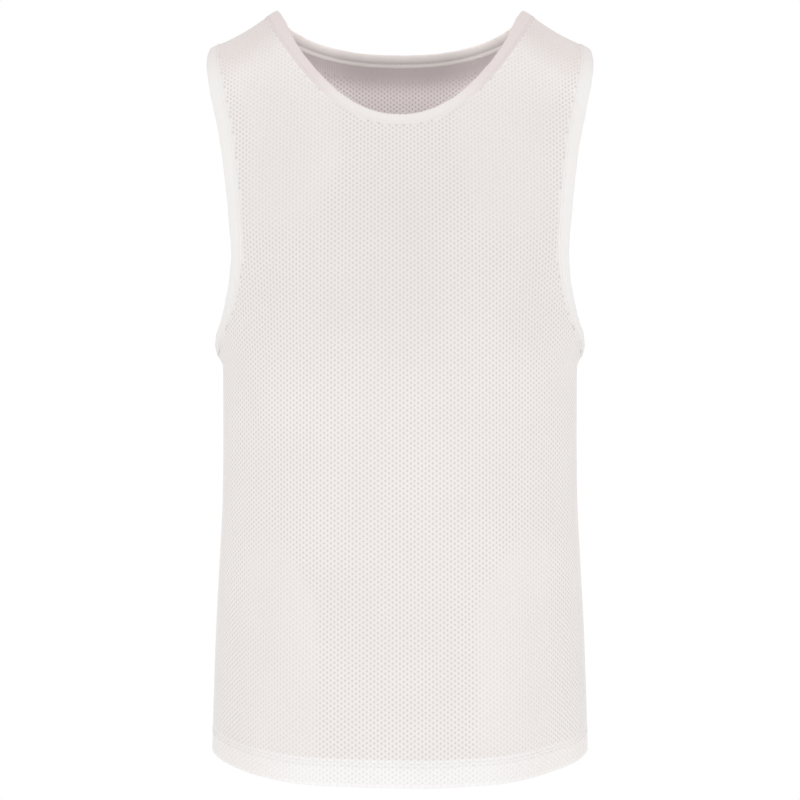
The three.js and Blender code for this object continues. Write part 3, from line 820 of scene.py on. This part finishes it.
def cloth_material(name, light, dark, knit, relief, ribs=0.0, hole=None):
    """
    Matt knitted polyester: stitch loops of size knit by their place on the flat cloth, with uneven
    tone. ribs is how far apart its ribs are, and hole is the darkest colour at the bottom of a hole,
    painted shade for the inside seen through it.
    """
    material, tree, shader = new_material(name, {
        "Roughness": 0.88, "Specular IOR Level": 0.3, "Sheen Weight": 0.18, "Sheen Roughness": 0.5,
    })
    place = add_node(tree, "Attribute", attribute_name="cloth").outputs["Vector"]
    solid = add_node(tree, "TexCoord").outputs["Object"]
    tone = weigh_and_add(tree, noise(tree, solid, 14, 3), 0.45, noise(tree, place, 0.9, 2))
    colour = shaded_ramp(tree, tone, dark, light, (0.52, 0.92))
    if hole is not None:
        # from the cloth's own colour to the darkest one: painted shade at the bottom of a hole, by depth
        depth = add_node(tree, "Attribute", attribute_name="depth")
        sunk = add_node(tree, "Mix", {7: (*hole, 1)}, data_type="RGBA")
        tree.links.new(depth.outputs["Fac"], sunk.inputs["Factor"])
        tree.links.new(colour, sunk.inputs[6])
        colour = sunk.outputs[2]
    tree.links.new(colour, shader.inputs["Base Color"])

    # columns of loops across the cloth, and rows of them up it
    wales = bands(tree, place, "X", knit, {"Distortion": 1.2, "Detail": 1, "Detail Scale": 1.5})
    courses = bands(tree, place, "Y", knit * 1.15, {"Distortion": 1.5, "Detail": 1, "Detail Scale": 1.3})
    height = weigh_and_add(tree, courses, 0.6, wales)
    if ribs:
        height = weigh_and_add(tree, bands(tree, place, "X", ribs, {"Distortion": 0.4}), 2.2, height)
    raise_by(tree, shader, height, relief, KNIT_DISTANCE)
    return material


def thread_material(name, light, dark):
    """Twisted thread, a little smoother than the cloth."""
    material, tree, shader = new_material(name, {"Roughness": 0.6, "Sheen Weight": 0.1})
    twist = noise(tree, add_node(tree, "TexCoord").outputs["Object"], 900, 2)
    tree.links.new(shaded_ramp(tree, twist, dark, light, (0.35, 0.65)), shader.inputs["Base Color"])
    raise_by(tree, shader, twist, 0.4, THREAD_DISTANCE)
    return material


NET = (0.807, 0.779, 0.759), (0.758, 0.728, 0.707)
# The facing's colour is lighter and pinker than the net's: painted light and warm shade for the inside of
# the neck.
FACING = (0.86, 0.782, 0.778), (0.82, 0.744, 0.74)
net_look = cloth_material("net_knit", *NET, 0.8, 0.35)
# The hole colours are painted shade at the bottoms of the holes, for the dark inside seen through them.
net_hole = cloth_material("net_hole_knit", *NET, 0.8, 0.35, hole=(0.605, 0.575, 0.555))
rib_look = cloth_material("binding_knit", (0.80, 0.781, 0.768), (0.765, 0.745, 0.731), 0.55, 0.3)
facing_look = cloth_material("facing_knit", *FACING, 0.7, 0.35, ribs=2.4)
facing_hole = cloth_material("facing_hole_knit", *FACING, 0.7, 0.35, hole=(0.52, 0.465, 0.46))
thread_look = thread_material("thread", (0.84, 0.825, 0.815), (0.76, 0.745, 0.735))

# the bib

NET_OFFSET, TURNED_UP_OFFSET, LINING_OFFSET = 0.55, -0.9, -1.0
HEM_ROWS = (17.6, 20.6)
# The hem's fold seen in section, as (height above the edge, distance out from the cloth)
HEM_SECTION = np.array([
    (3.0, 0.1), (1.3, 0.36), (0.35, 0.52), (-0.15, 0.42), (-0.42, 0.05), (-0.35, -0.45),
    (0.4, -1.0), (1.8, -1.3), (4.6, -1.36), (7.6, -1.34), (8.0, -1.1),
])
YOKE_DROP, YOKE_RISE, YOKE_HALF_WIDTH = 128, 46, 150
YOKE_RIBBED = 17
THREAD_HEIGHT, INNER_THREAD_HEIGHT = 1.08, 1.3
# The inner rows of stitching are painted darker and redder, as shade inside the bindings.
INNER_THREAD = np.array([0.88, 0.83, 0.83])


def turned_up(panel):
    """Brings a point of the panel into its hem."""
    def into_hem(x, drop):
        drop = np.clip(drop, LENGTH - HEM_DEPTH, LENGTH)
        limit = panel_half_width(panel, drop)
        return np.clip(x, -limit, limit), drop

    return into_hem


def yoke(x, drop):
    """Brings a point of the back into the second layer inside the upper back."""
    lowest = YOKE_DROP - YOKE_RISE * np.minimum(np.abs(x) / YOKE_HALF_WIDTH, 1.2) ** 2
    drop = np.clip(drop, shoulder_drop(x) + 6, lowest)
    limit = panel_half_width("back", drop) - 2
    x = np.clip(x, -limit, limit)
    return x, np.maximum(drop, neckline_drop("back", x) - 0.3)


for panel in ("front", "back"):
    for half, side in ((-1, "right"), (1, "left")):
        piece, cut_area = net(f"{panel}_net_{side}", panel, half, (net_look, net_hole), NET_OFFSET,
                              tone=outer_painted_shade_and_hem)
        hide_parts(f"{panel}_panel")

# The edge turned up inside
hem_lines = []
for panel in ("front", "back"):
    piece, cut_area = net(f"hem_turned_up_{panel}", panel, 0, (net_look, net_hole), TURNED_UP_OFFSET,
                          PITCH_UP / 2, turned_up(panel))

    limit = float(side_seam(0))
    x = limit * np.sin(np.linspace(-np.pi / 2, np.pi / 2, 601))
    base, out = cloth_point(panel, x, LENGTH), cloth_normal(panel, x, LENGTH - 0.5)
    points = base[:, None] + HEM_SECTION[None, :, 1:] * out[:, None]
    points[..., 2] += HEM_SECTION[None, :, 0]
    across, along = line_length(HEM_SECTION), line_length(base)
    faces = np.array(grid_faces(len(x), len(HEM_SECTION)))
    if panel == "back":
        faces = faces[:, ::-1]
    places = np.stack(np.broadcast_arrays(along[:, None], across[None]), -1).reshape(-1, 2)
    # The fold is a little darker than the hem above it: painted shade on the edge that faces down, on top
    # of the hem's lighter double cloth.
    light = np.repeat(0.96 + hem_light(x), len(HEM_SECTION), axis=0)
    fold = add_piece(f"hem_fold_{panel}", points.reshape(-1, 3), list(faces), net_look, places,
                     shade=light)
    for above in HEM_ROWS:
        x = panel_half_width(panel, LENGTH - above) * np.sin(np.linspace(-1.53, 1.53, 500))
        drop = np.full_like(x, LENGTH - above)
        normal = cloth_normal(panel, x, drop)
        hem_lines.append((cloth_point(panel, x, drop) + normal * (NET_OFFSET + 0.1), normal, False, 1.0))
stitches("hem_stitches", hem_lines, thread_look)

# The second layer inside the upper back
piece, cut_area = net("back_lining", "back", 0, (facing_look, facing_hole), LINING_OFFSET, PITCH_UP / 2,
                      yoke, YOKE_RIBBED, lining_painted_shade)

# Bindings, with a row of stitching beside each seam. The threads are painted with the bindings' shade.
piece, (point, normal, out) = binding("neck_binding_rib", neck_loop(), NECK_BINDING, lean_at_neck,
                                      rib_look, 3, wider_at_neck_point, neck_painted_shade, corner_light)
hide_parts("neck_binding")
stitches("neck_stitches", [
    (point + out * 1.0 + normal * THREAD_HEIGHT, normal, True, 0.97 * neck_painted_shade(point)),
    (point + out * 0.4 - normal * INNER_THREAD_HEIGHT, -normal, True,
     INNER_THREAD * corner_light(point)[:, None]),
], thread_look)
for side, sign in (("left", 1), ("right", -1)):
    piece, (point, normal, out) = binding(
        f"armhole_binding_rib_{side}", armhole_loop(sign), ARMHOLE_BINDING, lean_at_armhole, rib_look,
        5 + sign, narrower_at_shoulder, armhole_painted_shade)
    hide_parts(f"armhole_binding_{side}")
    stitches(f"armhole_stitches_{side}", [
        (point + out * 1.1 + normal * THREAD_HEIGHT, normal, True, 0.97 * armhole_painted_shade(point)),
        (point + out * 0.4 - normal * INNER_THREAD_HEIGHT, -normal, True, INNER_THREAD),
    ], thread_look)


def strip(name, points, material, shade, reverse):
    """A narrow strip of cloth through rows of points, turned over by reverse."""
    rows, columns = points.shape[:2]
    faces = np.array(grid_faces(rows, columns))
    if reverse:
        faces = faces[:, ::-1]
    along, across = line_length(points[:, 0]), line_length(points[rows // 2])
    places = np.stack(np.broadcast_arrays(along[:, None], across[None]), -1).reshape(-1, 2)
    piece = add_piece(name, points.reshape(-1, 3), list(faces), material, places, shade=shade)


# Seam allowances inside the side seams and a tape under each shoulder seam, with a little painted shade,
# more on the tapes
ALLOWANCE_LIFT = np.array([0.35, 0.8, 0.95, 1.0, 1.0, 0.95, 0.6])
TAPE_ROWS, TAPE_COLUMNS = 60, 6
for side, sign in (("left", 1), ("right", -1)):
    drop = np.linspace(ARMPIT_DROP + 1, LENGTH - 3, 190)[:, None]
    seam = side_seam(LENGTH - drop)
    inward = np.linspace(0, 1, len(ALLOWANCE_LIFT))[None] ** 2
    x = sign * seam * (1 - 0.012 * inward)
    wave = 0.25 * np.sin(drop / 7.0) * inward
    normal = cloth_normal("back", x, drop)
    lift = 0.25 + ALLOWANCE_LIFT[None, :, None] + wave[..., None]
    points = cloth_point("back", x, drop) - normal * lift
    at_seam = cloth_point("front", x[:, 0] * 0.9995, drop[:, 0])
    points[:, 0] = at_seam - cloth_normal("front", x[:, 0], drop[:, 0]) * 0.3
    strip(f"side_seam_allowance_{side}", points, net_look, warm_shade([0.02]), sign > 0)

    share = np.linspace(0, 1, TAPE_ROWS)[:, None]
    x = sign * (NECK_SEAM_X + (SHOULDER_SEAM_X - NECK_SEAM_X) * share)
    root = np.linspace(0.0, 1.45, TAPE_COLUMNS)[None]
    halves = []
    for panel in ("front", "back"):
        clear = np.broadcast_to(root ** 2, (TAPE_ROWS, TAPE_COLUMNS))
        place = cloth_point(panel, x, shoulder_drop(x) + clear)
        normal = cloth_normal(panel, x, shoulder_drop(x) + np.maximum(clear, 0.02))
        halves.append(place - normal * 0.95)
    points = np.concatenate([halves[0][:, ::-1], halves[1][:, 1:]], 1)
    strip(f"shoulder_tape_{side}", points, rib_look, warm_shade([0.1]), sign < 0)

# stage, light and camera

FLOOR_HEIGHT, FLOOR_RADIUS = -1.45, 2.15
ring = [
    (FLOOR_RADIUS * math.cos(a), FLOOR_RADIUS * math.sin(a), FLOOR_HEIGHT)
    for a in np.linspace(0, 2 * np.pi, 97)[:-1]
]
floor_mesh = bpy.data.meshes.new("floor")
floor_mesh.from_pydata(ring, [], [tuple(range(len(ring)))])
floor = bpy.data.objects.new("floor", floor_mesh)
bpy.context.scene.collection.objects.link(floor)
floor_look, *_ = new_material("pale_floor", {"Base Color": (0.9, 0.9, 0.9, 1), "Roughness": 0.9})
floor_mesh.materials.append(floor_look)

scene = bpy.context.scene
world = bpy.data.worlds.new("studio")
scene.world = world
world.use_nodes = True
world.node_tree.nodes["Background"].inputs["Color"].default_value = (1, 1, 1, 1)
world.node_tree.nodes["Background"].inputs["Strength"].default_value = 1.0
scene.view_settings.view_transform = "Standard"
scene.view_settings.look = "None"


def soft_light(name, place, target, size, power):
    data = bpy.data.lights.new(name, "AREA")
    data.shape = "SQUARE"
    data.size = size
    data.energy = power
    light = bpy.data.objects.new(name, data)
    light.location = place
    light.rotation_mode = "QUATERNION"
    light.rotation_quaternion = (Vector(target) - Vector(place)).to_track_quat("-Z", "Y")
    scene.collection.objects.link(light)


for name, place, size, power in (
    ("key_light", (-1.1, -2.6, -0.5), 1.6, 8),
    ("fill_light", (1.3, -2.5, -0.8), 1.6, 7.5),
    ("back_light", (0.3, 2.4, 0.6), 1.6, 9),
):
    soft_light(name, place, (0, 0, -0.36), size, power)

# The camera is straight in front, at the height of the bib's middle
camera_data = bpy.data.cameras.new("camera")
camera_data.lens = 56.925
camera_data.sensor_width = 36
camera_data.clip_start, camera_data.clip_end = 0.05, 30
camera = bpy.data.objects.new("camera", camera_data)
camera.location = (0, -1.24, -0.3592)
camera.rotation_euler = (math.radians(90), 0, 0)
scene.collection.objects.link(camera)
scene.camera = camera
